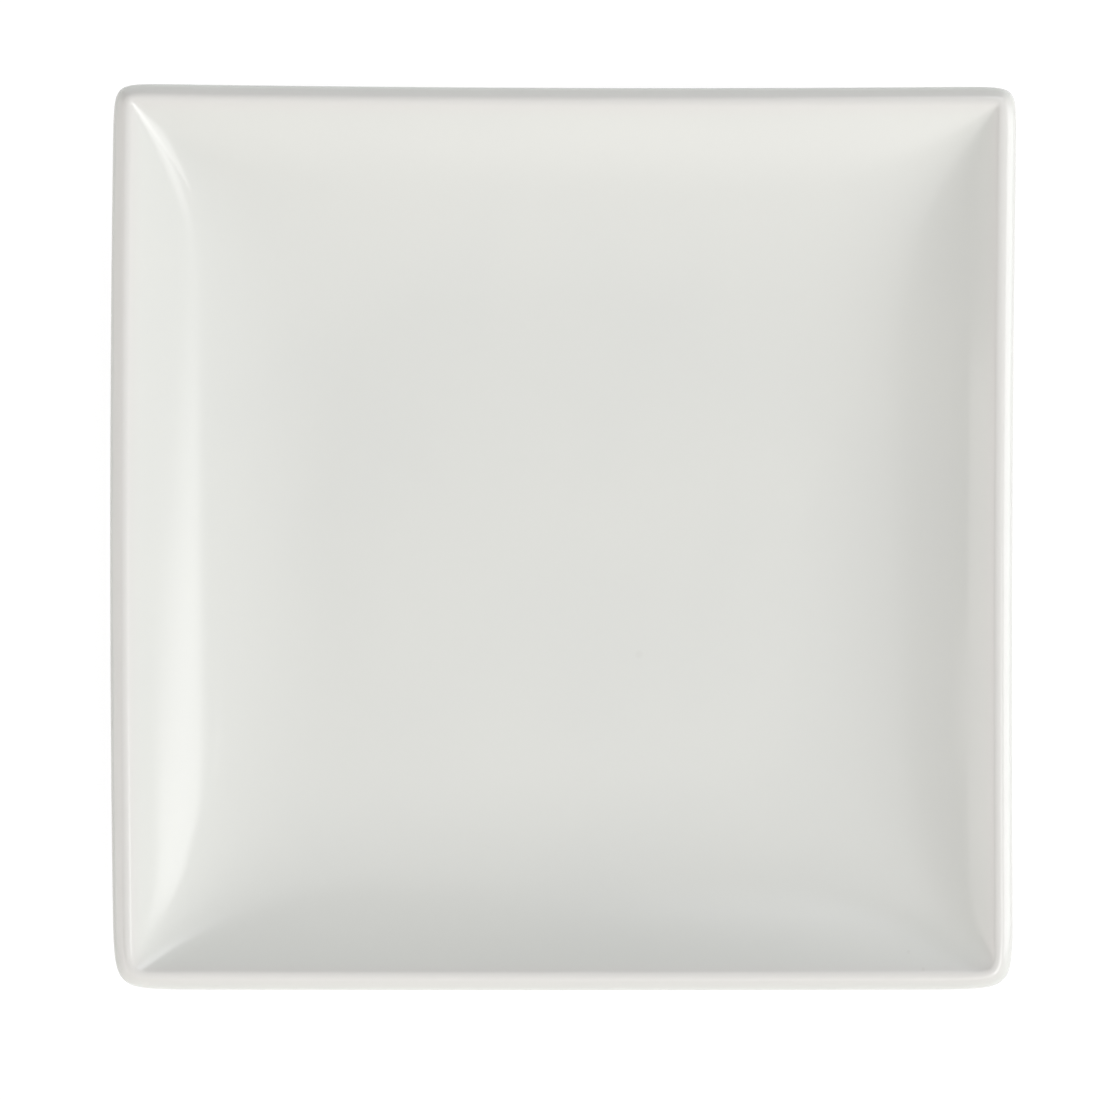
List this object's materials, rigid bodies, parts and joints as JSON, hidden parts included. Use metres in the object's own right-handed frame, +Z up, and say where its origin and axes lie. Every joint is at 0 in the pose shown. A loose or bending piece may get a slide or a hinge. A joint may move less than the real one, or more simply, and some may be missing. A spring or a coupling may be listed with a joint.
{
  "type": "square plate",
  "caption": "Square ceramic plate with a rolled lip, curved walls running down to a flat well for food, and a foot ring wiped bare of glaze to stand on.",
  "frame": {"origin": "under the middle of the plate, on the plane that the foot ring stands on", "axes": "+Z up through the open face, +X to the right side, -Y to the front side with the rounder corners"},
  "size_m": [0.2397, 0.2397, 0.025],
  "materials": {
    "fired_body": "matte, fine-grained, unglazed",
    "white_glaze": "gloss, off-white"
  },
  "bodies": {
    "root": {"ceramic_body": "fired_body", "outer_glaze": "white_glaze", "base_glaze": "white_glaze"}
  },
  "joints": []
}
